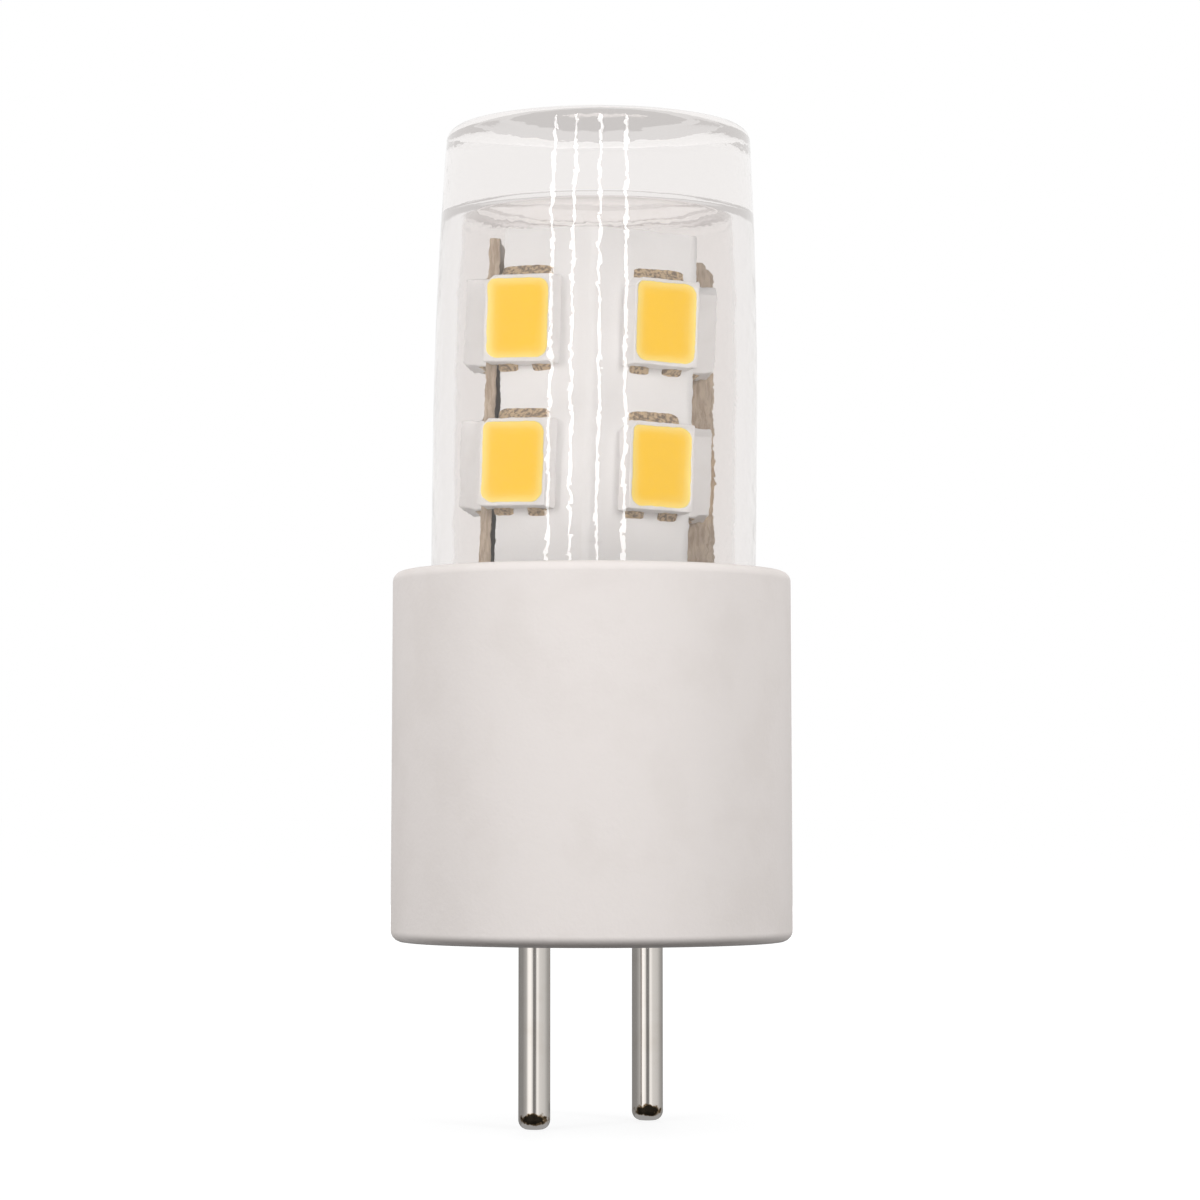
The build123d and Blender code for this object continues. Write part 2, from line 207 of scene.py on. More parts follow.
class Nodes:
    """Shader nodes of a material or a world."""

    def __init__(self, owner):
        owner.use_nodes = True
        self.tree = owner.node_tree
        self.tree.nodes.clear()

    def node(self, kind, settings=None, sockets=None, out=0):
        """New node: its settings, such as a ramp's stops, then its sockets' values or links."""
        made = self.tree.nodes.new(kind)
        for key, setting in (settings or {}).items():
            if key == "stops":
                self.ramp(made.color_ramp.elements, setting)
            else:
                setattr(made, key, setting)
        for key, given in (sockets or {}).items():
            if isinstance(given, Value):
                self.tree.links.new(given.socket, made.inputs[key])
            else:
                made.inputs[key].default_value = given
        return Value(self, made.outputs[out]) if made.outputs else None

    def ramp(self, points, stops):
        """Put a ramp's points at (position, colour) stops."""
        while len(points) < len(stops):
            points.new(0.5)
        for point, (position, colour) in zip(points, stops):
            point.position = position
            point.color = colour

    def seen(self):
        """1 for rays from the camera, and those that metal and glass pass on."""
        camera, glossy, transmitted = (
            self.node("ShaderNodeLightPath", out=f"Is {ray} Ray")
            for ray in ("Camera", "Glossy", "Transmission")
        )
        return camera.largest(glossy).largest(transmitted)


class Finish(Nodes):
    """A material built from nodes, with lengths in millimetres."""

    def __init__(self, name):
        self.material = bpy.data.materials.new(name)
        super().__init__(self.material)
        self.place = self.node("ShaderNodeTexCoord", out="Object")

    def spread(self, x, y, z):
        """Place on the bulb, divided by a length along each axis."""
        scale = (1 / (x * MM), 1 / (y * MM), 1 / (z * MM))
        return self.node(
            "ShaderNodeVectorMath", {"operation": "MULTIPLY"}, {0: self.place, 1: scale}
        )

    def cloud(self, size, detail, stretch=EVEN):
        """Noise from 0 to 1, whose patches are about size across."""
        place = self.spread(*(size * s for s in stretch))
        return self.node(
            "ShaderNodeTexNoise",
            {"noise_dimensions": "3D"},
            {"Vector": place, "Scale": 1.0, "Detail": detail},
        )

    def tint(self, factor, first, second):
        """Mix of two colours."""
        return self.node(
            "ShaderNodeMix", {"data_type": "RGBA"}, {0: factor, 6: first, 7: second}, out=2
        )

    def along(self, vector, way):
        """How far a vector goes a way."""
        return self.node(
            "ShaderNodeVectorMath",
            {"operation": "DOT_PRODUCT"},
            {0: vector, 1: tuple(way)},
            out="Value",
        )

    def height(self):
        """Height above the base's underside."""
        return self.along(self.spread(1, 1, 1), (0, 0, 1))

    def radius(self):
        """Distance from the bulb's axis."""
        flat = self.node(
            "ShaderNodeVectorMath",
            {"operation": "MULTIPLY"},
            {0: self.spread(1, 1, 1), 1: (1, 1, 0)},
        )
        return self.node("ShaderNodeVectorMath", {"operation": "LENGTH"}, {0: flat}, out="Value")

    def facing(self, way):
        """How far a face's normal points a way, from -1 to 1."""
        return self.along(self.node("ShaderNodeNewGeometry", out="Normal"), way)

    def bump(self, height, depth):
        return self.node("ShaderNodeBump", None, {"Height": height, "Distance": depth * MM})

    def principled(self, **sockets):
        named = {key.replace("_", " "): given for key, given in sockets.items()}
        return self.node("ShaderNodeBsdfPrincipled", None, named)

    def done(self, shader):
        self.node("ShaderNodeOutputMaterial", None, {"Surface": shader})
        return self.material


def rgb(colour):
    """Colour as a four-part socket value."""
    return (*colour[:3], 1.0)


def colour_prop(name, description, default):
    return bpy.props.FloatVectorProperty(
        name=name, description=description, subtype="COLOR", size=3, min=0, max=1, default=default
    )


def length_prop(name, description, millimetres):
    return bpy.props.FloatProperty(
        name=name, description=description, unit="LENGTH", precision=5, default=millimetres * MM
    )


def angle_prop(name, description, degrees):
    return bpy.props.FloatProperty(
        name=name, description=description, subtype="ANGLE", default=math.radians(degrees)
    )


def number_prop(name, description, default):
    return bpy.props.FloatProperty(name=name, description=description, default=default)


class BulbShell(bpy.types.PropertyGroup):
    """Base, cover and pins"""

    ceramic: colour_prop("Ceramic", "Colour of the base", (0.735, 0.692, 0.673))
    ceramic_stain: colour_prop("Ceramic stain", "Of its faint mottling", (0.63, 0.583, 0.554))
    # Painted shade: the dark colour put on the base's underside
    ceramic_painted_shade: colour_prop("Ceramic painted shade", "On its underside", (0.26, 0.235, 0.22))
    clear: colour_prop("Clear cover", "What the cover lets through", (0.87, 0.842, 0.828))
    # Painted light: strength of the glow that the cover shows to rays which have mirrored in it
    cover_painted_glow: number_prop("Cover glow", "Light of what mirrors itself in the cover", 0.72)
    pin: colour_prop("Pins", "Colour of the plated pins", (0.80, 0.77, 0.74))
    pin_tarnish: colour_prop("Pin tarnish", "Of duller patches on them", (0.62, 0.55, 0.48))
    # Painted reflection: the dark of each pin's tip and its browner edge
    pin_dark_reflection: colour_prop("Pin dark reflection", "Dark marks on the pins' tips", (0.02, 0.016, 0.011))
    pin_dark_reflection_edge: colour_prop("Pin reflection edge", "Browner edge of those marks", (0.26, 0.18, 0.1))
    mouth_round: length_prop("Mouth rounding", "Of the base's upper outer edge", 0.4)
    cover_wall: length_prop("Cover wall", "Thickness of the cover's side", 0.85)
    cover_top: length_prop("Cover top", "Thickness of the cover's top at its rim", 3.3)
    cover_straight: length_prop("Straight side", "Of the cover, above its foot", 7.1)
    cover_draw: length_prop("Draw-in", "Of the cover's side by its top", 0.42)
    cover_lean: angle_prop("Cover lean", "Of the cover to the column's right", 0.64)
    cover_wave: length_prop("Cover waviness", "Depth of the moulding's ripples", 0.02)
    rim_round: length_prop("Rim rounding", "Of the cover's top edge", 0.5)
    ceiling_round: length_prop("Ceiling rounding", "Inside, round the cover's ceiling", 0.6)
    dish_width: length_prop("Dish", "Width of the hollow in the cover's top", 10.0)
    dish_depth: length_prop("Dish depth", "Of that hollow", 1.15)


class BulbColumn(bpy.types.PropertyGroup):
    """Light column: boards, packages and solder"""

    turn: angle_prop("Turn", "From the pins' line to the column's right", -44.0)
    lean: angle_prop("Lean", "Of the panel's top to its right", 1.8)
    board: colour_prop("Boards", "White lacquer of the boards", (0.95, 0.95, 0.95))
    board_patch: colour_prop("Board patches", "Duller white in it", (0.80, 0.79, 0.78))
    laminate: colour_prop("Laminate", "Brown of the boards' bare faces", (0.37, 0.275, 0.19))
    fibre: colour_prop("Fibres", "Paler streaks in that brown", (0.58, 0.47, 0.355))
    housing: colour_prop("Packages", "Moulded white of the packages", (0.95, 0.94, 0.935))
    housing_patch: colour_prop("Package patches", "Duller white in it", (0.80, 0.77, 0.75))
    phosphor: colour_prop("Phosphor", "Middle of each window", (1.0, 0.605, 0.004))
    phosphor_rim: colour_prop("Phosphor rim", "Paler edge of each window", (1.0, 0.80, 0.23))
    # Painted light: strength of the windows' own glow
    phosphor_painted_glow: number_prop("Phosphor glow", "Light that the windows give back", 0.2)
    solder: colour_prop("Solder", "Dark crust of the joints at the packages", (0.28, 0.21, 0.15))
    solder_bright: colour_prop("Bright solder", "Between the crust", (0.68, 0.52, 0.33))


class BulbStage(bpy.types.PropertyGroup):
    """Camera, light and floor"""

    distance: length_prop("Distance", "From the bulb's axis to the camera", 150.0)
    azimuth: angle_prop("Azimuth", "Of the camera round the bulb", -45.0)
    eye: length_prop("Eye height", "Of the camera above the base's underside", 5.2)
    aim: length_prop("Aim height", "Where the camera looks on the axis", 13.6)
    aside: length_prop("Aside", "How far right of the axis it looks", 0.33)
    lens: number_prop("Lens", "Focal length in millimetres", 112.7)
    fill: number_prop("Fill", "Strength of the light from all round", 0.9)
    fill_colour: colour_prop("Fill colour", "Of the light from all round", (1.0, 0.985, 0.97))
    floor: colour_prop("Floor", "Colour that takes the shadow", (0.2, 0.203, 0.206))
    box_power: number_prop("Soft box", "Power of each soft box in watts", 0.485)
    strip_power: number_prop("Strip", "Power of a full-width strip light in watts", 0.072)


def settings():
    scene = bpy.context.scene
    return scene.bulb_shell, scene.bulb_column, scene.bulb_stage


def column_axes(column):
    """Right and front of the light column, and up its leaning panel."""
    turned_to = Matrix.Rotation(column.turn, 3, "Z")
    leaning = turned_to @ Matrix.Rotation(column.lean, 3, "Y")
    right, front, up = Vector((1, 0, 0)), Vector((0, -1, 0)), Vector((0, 0, 1))
    return turned_to @ right, turned_to @ front, leaning @ up


def dress(material, *names):
    """Give CAD nodes a finish."""
    for name in names:
        mesh = NODES[name].data
        mesh.materials.clear()
        mesh.materials.append(material)


def ceramic_finish(shell, column):
    """Matt, mottled and grained, with painted shade on its underside, darkest where it faces the
    column's front.
    """
    f = Finish("fired_ceramic")
    mottle = f.cloud(2.6, 3.0).over(0.42, 0.68)
    grain = f.cloud(0.16, 2.0)
    stain = mottle * 0.22 + (grain - 0.5) * 0.10
    colour = f.tint(stain, rgb(shell.ceramic), rgb(shell.ceramic_stain))
    # Painted shade: the underside is darkened, most of all on the side that faces the column's
    # front
    under = (0 - f.facing((0, 0, 1))).over(0.1, 0.8)
    front_shade = f.facing(column_axes(column)[1]).over(0.15, 0.65)
    colour = f.tint(under * (0.1 + 0.75 * front_shade), colour, rgb(shell.ceramic_painted_shade))
    return f.done(
        f.principled(
            Base_Color=colour,
            Roughness=0.62 + (grain - 0.5) * 0.2,
            Normal=f.bump(grain * 0.6 + f.cloud(0.6, 3.0), 0.012),
        )
    )


def clear_finish(shell):
    """Clear plastic, rippled on its outside and in its dish, with painted light where rays have
    mirrored in it twice and more.
    """
    f = Finish("clear_moulded_cover")
    drawn_out = (1.0, 1.0, 0.7)
    ripple = f.cloud(1.4, 1.0, drawn_out) + 0.26 * f.cloud(0.4, 1.0, drawn_out)
    away = f.radius()
    outside = away.over(5.75, 5.95)
    dish = f.height().over(31.0, 31.2) * (1 - away.over(5.0, 5.3))
    glass = f.principled(
        Base_Color=rgb(shell.clear),
        Roughness=0.012,
        IOR=1.49,
        Transmission_Weight=1.0,
        Normal=f.bump(ripple * outside.largest(dish), shell.cover_wave / MM),
    )
    # Painted light: an even glow in the cover's tint, in place of what rays find after mirroring
    # twice and more
    painted_light_shader = f.node(
        "ShaderNodeEmission", None, {"Color": rgb(shell.clear), "Strength": shell.cover_painted_glow}
    )
    mirrored = f.node("ShaderNodeLightPath", out="Glossy Depth").over(1.5, 2.5)
    return f.done(f.node("ShaderNodeMixShader", None, {0: mirrored, 1: glass, 2: painted_light_shader}))


def pin_finish(shell, column):
    """Drawn, plated metal with a ragged painted dark reflection on the front and the back of each
    tip.
    """
    f = Finish("plated_pins")
    drawn = f.cloud(0.05, 2.0, (1.0, 1.0, 60.0))
    tarnish = f.cloud(1.2, 3.0).over(0.45, 0.75) * 0.25
    colour = f.tint(tarnish, rgb(shell.pin), rgb(shell.pin_tarnish))
    # Painted reflection: a ragged dark mark with a brown fringe on each tip, on the sides facing
    # the column's front and back
    ragged = f.cloud(0.2, 3.0) - 0.5
    level = (f.height() + 6.84) * 3.5
    front = f.facing(column_axes(column)[1])
    away = level * level + 1.15 * (1 - front * front)
    dark_reflection_mask = 1 - (away + 1.9 * ragged).over(0.15, 1.15)
    colour = f.tint(dark_reflection_mask.over(0.0, 0.5), colour, rgb(shell.pin_dark_reflection_edge))
    colour = f.tint(dark_reflection_mask.over(0.25, 0.85), colour, rgb(shell.pin_dark_reflection))
    return f.done(
        f.principled(
            Base_Color=colour,
            Metallic=1.0,
            Roughness=0.05 + drawn * 0.07 + dark_reflection_mask * 0.3,
            Normal=f.bump(drawn, 0.0004),
        )
    )


def board_finish(name, column, bare):
    """White lacquer, with bare laminate on the faces that bare picks by their normal."""
    f = Finish(name)
    patch = f.cloud(1.8, 3.0)
    speck = f.cloud(0.12, 2.0)
    fibre = f.cloud(0.10, 3.0, (1.0, 1.0, 6.0)).over(0.3, 0.7)
    white = f.tint(patch.over(0.45, 0.8) * 0.2, rgb(column.board), rgb(column.board_patch))
    brown = f.tint(fibre, rgb(column.laminate), rgb(column.fibre))
    colour = f.tint(bare(*(f.facing(way) for way in column_axes(column))), white, brown)
    return f.done(
        f.principled(
            Base_Color=colour,
            Roughness=0.38 + patch * 0.12,
            Normal=f.bump(speck + patch, 0.006),
        )
    )


def housing_finish(column):
    """Moulded white with duller patches."""
    f = Finish("moulded_package")
    speck = f.cloud(0.09, 2.0)
    dull = f.cloud(0.9, 2.0).over(0.4, 0.8) * 0.3
    return f.done(
        f.principled(
            Base_Color=f.tint(dull, rgb(column.housing), rgb(column.housing_patch)),
            Roughness=0.42 + speck * 0.15,
            Normal=f.bump(speck, 0.004),
        )
    )


def phosphor_finish(column):
    """Yellow resin, paler at its rim, with unevenly settled phosphor and a painted glow in its own
    colour.
    """
    f = Finish("phosphor_resin")
    rim = f.node("ShaderNodeAttribute", {"attribute_name": "rim"}, out="Fac")
    grain = f.cloud(0.05, 2.0)
    settled = f.cloud(2.5, 1.0) - 0.5
    shade = rim * 0.95 + (grain - 0.5) * 0.15 + settled * 0.4 - 0.08
    colour = f.tint(shade, rgb(column.phosphor), rgb(column.phosphor_rim))
    return f.done(
        f.principled(
            Base_Color=colour,
            Roughness=0.32,
            # Painted light: the windows give off light in their own colour, though they are no
            # lamps
            Emission_Color=colour,
            Emission_Strength=column.phosphor_painted_glow,
            Normal=f.bump(grain, 0.002),
        )
    )


def solder_finish(column):
    """Crusted solder, browned by its flux."""
    f = Finish("reflowed_solder")
    crust = f.cloud(0.14, 4.0)
    return f.done(
        f.principled(
            Base_Color=f.tint(
                crust.over(0.42, 0.62), rgb(column.solder_bright), rgb(column.solder)
            ),
            Metallic=0.35,
            Roughness=0.35 + crust * 0.3,
            Normal=f.bump(crust, 0.03),
        )
    )


def driver_finish(name, first, second, size, rough, metal, stretch):
    """Two shades in patches, for the pieces that the base hides."""
    f = Finish(name)
    patch = f.cloud(size, 3.0, stretch)
    return f.done(
        f.principled(
            Base_Color=f.tint(patch, rgb(first), rgb(second)),
            Metallic=metal,
            Roughness=rough + (patch - 0.5) * 0.2,
            Normal=f.bump(patch, 0.01),
        )
    )


def piece(name, bm, material, replaced, sharp=35.0):
    """New object from a bmesh, riding on the bulb in place of a CAD node."""
    bmesh.ops.recalc_face_normals(bm, faces=bm.faces)
    mesh = bpy.data.meshes.new(name)
    bm.to_mesh(mesh)
    bm.free()
    mesh.polygons.foreach_set("use_smooth", [True] * len(mesh.polygons))
    mesh.set_sharp_from_angle(angle=math.radians(sharp))
    mesh.materials.append(material)
    made = bpy.data.objects.new(name, mesh)
    bpy.context.scene.collection.objects.link(made)
    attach(made, "root")
    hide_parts(replaced)
    return made


def rounded(corners, steps=5, closed=True):
    """Outline through corners (x, y, radius), each rounded by its radius."""
    outline = []
    for i, (x, y, radius) in enumerate(corners):
        here = Vector((x, y))
        if radius == 0 or not closed and i in (0, len(corners) - 1):
            outline.append(here)
            continue
        back = (Vector(corners[i - 1][:2]) - here).normalized()
        on = (Vector(corners[(i + 1) % len(corners)][:2]) - here).normalized()
        half = back.angle(on) / 2
        start = here + back * (radius / math.tan(half))
        end = here + on * (radius / math.tan(half))
        centre = here + (back + on).normalized() * (radius / math.sin(half))
        for k in range(steps + 1):
            along = (start - centre).lerp(end - centre, k / steps)
            outline.append(centre + along.normalized() * radius)
    return outline


def turned(profile, steps=160):
    """Closed body of revolution about Z, from a profile that starts and ends on the axis."""
    bm = bmesh.new()
    verts = [bm.verts.new((p.x, 0, p.y)) for p in profile]
    edges = [bm.edges.new(pair) for pair in zip(verts, verts[1:])]
    bmesh.ops.spin(
        bm,
        geom=verts + edges,
        axis=(0, 0, 1),
        cent=(0, 0, 0),
        steps=steps,
        angle=math.tau,
        use_merge=True,
    )
    bmesh.ops.remove_doubles(bm, verts=bm.verts, dist=1e-7)
    return bm


def drill(made, x, radius, reach):
    """Cut an upright hole through a piece's floor."""
    corners = ((0, -reach), (radius, -reach), (radius, reach), (0, reach))
    bm = turned([Vector(corner) for corner in corners], 48)
    bmesh.ops.translate(bm, verts=bm.verts, vec=(x, 0, 0))
    bmesh.ops.recalc_face_normals(bm, faces=bm.faces)
    cutter = bpy.data.objects.new("cutter", bpy.data.meshes.new("cutter"))
    bm.to_mesh(cutter.data)
    bm.free()
    bpy.context.scene.collection.objects.link(cutter)
    cut = made.modifiers.new("hole", "BOOLEAN")
    cut.object = cutter
    bpy.context.view_layer.update()
    depsgraph = bpy.context.evaluated_depsgraph_get()
    mesh = bpy.data.meshes.new_from_object(made.evaluated_get(depsgraph))
    made.modifiers.clear()
    made.data = mesh
    bpy.data.objects.remove(cutter)


def cut_corner(x, y, radius, cut, cut_radius):
    """Outline of a rectangle from its half sides, its upper left corner cut."""
    return rounded(
        [
            (x, y, radius),
            (-x + cut, y, cut_radius),
            (-x, y - cut, cut_radius),
            (-x, -y, radius),
            (x, -y, radius),
        ]
    )


def package_outline(inset, radius):
    """Outline of a package."""
    x, y = PACKAGE_WIDTH / 2 - inset, PACKAGE_HEIGHT / 2 - inset
    cut = PACKAGE_CUT - inset * (2 - math.sqrt(2))
    return cut_corner(x, y, radius, cut, radius * 0.4)


def window_outline(inset):
    """Outline of a package's window, with as many points as the package's own."""
    x, y = WINDOW_WIDTH / 2 - inset, WINDOW_HEIGHT / 2 - inset
    radius = WINDOW_ROUND - inset * 0.6
    return cut_corner(x, y, radius, radius * 0.35, radius * 0.45)


def stack(bm, rings, seat):
    """Skin a list of (outline, height) rings in a seat's frame, capped at both ends."""
    loops = [
        [bm.verts.new(seat @ Vector((p.x * MM, p.y * MM, z * MM))) for p in outline]
        for outline, z in rings
    ]
    for low, high in zip(loops, loops[1:]):
        for i in range(len(low)):
            j = (i + 1) % len(low)
            bm.faces.new((low[i], low[j], high[j], high[i]))
    bm.faces.new(loops[0][::-1])
    bm.faces.new(loops[-1])
    return loops


def package_seat(name, column):
    """Frame of a package: X right, Y up and Z out, on the board under its middle."""
    mesh = NODES[f"led_phosphor_{name}"].data
    faces = {}
    for face in mesh.polygons:
        key = tuple(round(c, 2) for c in face.normal)
        faces.setdefault(key, []).append(face)
    top = max(faces.values(), key=lambda group: sum(f.area for f in group))
    area = sum(f.area for f in top)
    middle = sum((f.center * f.area for f in top), Vector()) / area
    out = sum((f.normal * f.area for f in top), Vector()).normalized()
    up = Vector((0, 0, 1)) if name.startswith("rear") else column_axes(column)[2]
    right = up.cross(out)
    seat = Matrix((right, up, out)).transposed().to_4x4()
    seat.translation = middle - out * PHOSPHOR_LEVEL * MM
    return seat


class BULB_OT_shell(bpy.types.Operator):
    """Build the ceramic base and the clear cover, and finish the two pins"""

    bl_idname = "bulb.shell"
    bl_label = "Base, cover and pins"

    def execute(self, context):
        shell, column, _ = settings()
        self.base(shell, column)
        self.cover(shell, column)
        dress(pin_finish(shell, column), *PINS)
        return {"FINISHED"}

    def reach(self, low, high):
        """Radius of a round node, from its box."""
        return min(*high[:2], *(-side for side in low[:2]))

    def base(self, shell, column):
        low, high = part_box("base_shell")
        radius, top = self.reach(low, high), high[2]
        profile = rounded(
            [
                (0, 0, 0),
                (radius, 0, FOOT_ROUND * MM),
                (radius - BASE_TAPER * MM, top, shell.mouth_round),
                (SEAT_RADIUS * MM, top, SEAT_EDGE * MM),
                (SEAT_RADIUS * MM, SEAT_FLOOR * MM, 0),
                (BORE_RADIUS * MM, SEAT_FLOOR * MM, BORE_EDGE * MM),
                (BORE_RADIUS * MM, BORE_FLOOR * MM, BORE_CORNER * MM),
                (0, BORE_FLOOR * MM, 0),
            ],
            closed=False,
        )
        fired = ceramic_finish(shell, column)
        made = piece("ceramic_base", turned(profile), fired, "base_shell")
        for name in PINS:
            low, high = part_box(name)
            drill(made, (low[0] + high[0]) / 2, PIN_HOLE_RADIUS * MM, PIN_HOLE_REACH * MM)

    def cover(self, shell, column):
        low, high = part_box("clear_cover")
        foot, top, outer = low[2], high[2], self.reach(low, high)
        wall = shell.cover_wall
        ceiling = top - shell.cover_top
        straight = foot + shell.cover_straight

        def side(z, inset):
            """Radius of the drawn-in side at a height."""
            drawn = max(0.0, z - straight) / (top - straight)
            return outer - inset - shell.cover_draw * drawn**2

        def flank(start, end, inset, steps=8):
            heights = [start + (end - start) * k / steps for k in range(steps + 1)]
            return [(side(z, inset), z, 0) for z in heights]

        def bowl(steps=14):
            """Dish from its middle to its edge, part of a ball."""
            half, depth = shell.dish_width / 2, shell.dish_depth
            ball = (half**2 + depth**2) / (2 * depth)
            reach = [half * k / steps for k in range(steps + 1)]
            return [(r, top - depth + ball - math.sqrt(ball**2 - r**2), 0) for r in reach]

        profile = rounded(
            bowl()
            + [(side(top, 0), top, shell.rim_round)]
            + flank(top - RIM_ROOM * MM, straight, 0)
            + [(x, foot, COVER_FOOT_ROUND * MM) for x in (outer, outer - wall)]
            + flank(straight, ceiling - CEILING_ROOM * MM, wall)
            + [(side(ceiling, wall), ceiling, shell.ceiling_round), (0, ceiling, 0)],
            steps=8,
            closed=False,
        )
        bm = turned(profile, 192)
        right = column_axes(column)[0]
        for vert in bm.verts:
            raised = vert.co.z - foot
            vert.co += right * (COVER_ASIDE * MM + raised * math.tan(shell.cover_lean))
        made = piece("clear_cap", bm, clear_finish(shell), "clear_cover")
        made.visible_shadow = False


class BULB_OT_boards(bpy.types.Operator):
    """Finish the folded panel, the strip beside it, the board behind it and the disc below"""

    bl_idname = "bulb.boards"
    bl_label = "Boards"

    def execute(self, context):
        column = settings()[1]

        def left_and_top(right, front, up):
            return (0 - right).over(0.6, 0.7).largest(up.over(0.6, 0.7))

        def all_but_left(right, front, up):
            return right.over(-0.6, -0.5)

        def underside(right, front, up):
            return (0 - up).over(0.5, 0.6)

        def all_but_rear(right, front, up):
            return front.over(-0.6, -0.5)

        dress(board_finish("lacquered_panel", column, left_and_top), "led_panel")
        dress(board_finish("lacquered_strip", column, all_but_left), "side_strip")
        dress(board_finish("lacquered_disc", column, underside), "mount_disc")
        dress(board_finish("lacquered_back_board", column, all_but_rear), "back_board")
        return {"FINISHED"}


class BULB_OT_packages(bpy.types.Operator):
    """Build the twelve packages with their cups and phosphor"""

    bl_idname = "bulb.packages"
    bl_label = "Light-emitting packages"

    def execute(self, context):
        column = settings()[1]
        white = housing_finish(column)
        yellow = phosphor_finish(column)
        for facet in FACETS:
            for row in ROWS:
                name = f"{facet}_{row}"
                seat = package_seat(name, column)
                self.housing(name, seat, white)
                self.phosphor(name, seat, yellow)
        return {"FINISHED"}

    def housing(self, name, seat, white):
        bm = bmesh.new()
        rings = [(package_outline(inset, radius), z) for inset, radius, z in PACKAGE_RINGS]
        rings += [(window_outline(inset), z) for inset, z in CUP_RINGS]
        stack(bm, rings, seat)
        piece(f"package_{name}", bm, white, f"led_housing_{name}")

    def phosphor(self, name, seat, yellow):
        bm = bmesh.new()
        rim = bm.verts.layers.float.new("rim")
        loops = stack(bm, [(window_outline(inset), z) for inset, z, _ in PHOSPHOR_RINGS], seat)
        for loop, (_, _, share) in zip(loops, PHOSPHOR_RINGS):
            for vert in loop:
                vert[rim] = share
        piece(f"phosphor_{name}", bm, yellow, f"led_phosphor_{name}", sharp=60.0)


class BULB_OT_solder(bpy.types.Operator):
    """Build the lumpy solder above and below each package"""

    bl_idname = "bulb.solder"
    bl_label = "Solder"

    def execute(self, context):
        column = settings()[1]
        metal = solder_finish(column)
        for carrier, facets in CARRIERS.items():
            bm = bmesh.new()
            for facet in facets:
                for row in ROWS:
                    seat = package_seat(f"{facet}_{row}", column)
                    seed = 10.0 * FACETS.index(facet) + 5.0 * ROWS.index(row)
                    for i, bead in enumerate(BEADS):
                        self.bead(bm, seat, seed + i, *bead)
            replaced = f"{carrier}_solder_joints"
            piece(f"solder_on_{carrier}", bm, metal, replaced, sharp=70.0)
        dress(metal, "column_solder_joints", "pin_solder_left", "pin_solder_right")
        return {"FINISHED"}

    def bead(self, bm, seat, seed, end, across, width, foot):
        """Crusted wedge from a package's end wall down to the board."""
        columns, rows = 22 if width > 1 else 10, 7
        grid = []
        for i in range(columns + 1):
            u = i / columns * 2 - 1
            full = 1 - abs(u) ** 6
            line = []
            for k in range(rows + 1):
                v = k / rows
                x = across + u * width / 2
                y = end * (PACKAGE_HEIGHT / 2 + foot * v * (0.75 + 0.25 * full))
                z = SOLDER_RISE * (1 - v) ** 1.5 * (0.35 + 0.65 * full)
                spot = Vector((x * LUMPS_PER_MM, y * LUMPS_PER_MM, seed))
                z = max(z + noise.noise(spot) * SOLDER_LUMPS * (1 - v), 0.0)
                line.append(bm.verts.new(seat @ (Vector((x, y, z)) * MM)))
            grid.append(line)
        for near, far in zip(grid, grid[1:]):
            for k in range(rows):
                bm.faces.new((near[k], near[k + 1], far[k + 1], far[k]))
        rim = grid[0] + [line[-1] for line in grid[1:]]
        rim += grid[-1][-2::-1] + [line[0] for line in grid[-2:0:-1]]
        flat = [self.on_board(bm, seat, vert) for vert in rim]
        for i in range(len(rim)):
            corners = list(dict.fromkeys((rim[i - 1], rim[i], flat[i], flat[i - 1])))
            if len(corners) > 2:
                bm.faces.new(corners)
        bm.faces.new(flat)

    def on_board(self, bm, seat, vert):
        """New point on the board under a point of the crust, or that point where it lies there."""
        local = seat.inverted() @ vert.co
        if local.z < 1e-4 * MM:
            return vert
        return bm.verts.new(seat @ Vector((local.x, local.y, 0.0)))


class BULB_OT_driver(bpy.types.Operator):
    """Finish the driver's board and parts inside the base"""

    bl_idname = "bulb.driver"
    bl_label = "Driver"

    def execute(self, context):
        for *finish, names in DRIVER:
            dress(driver_finish(*finish), *names)
        return {"FINISHED"}


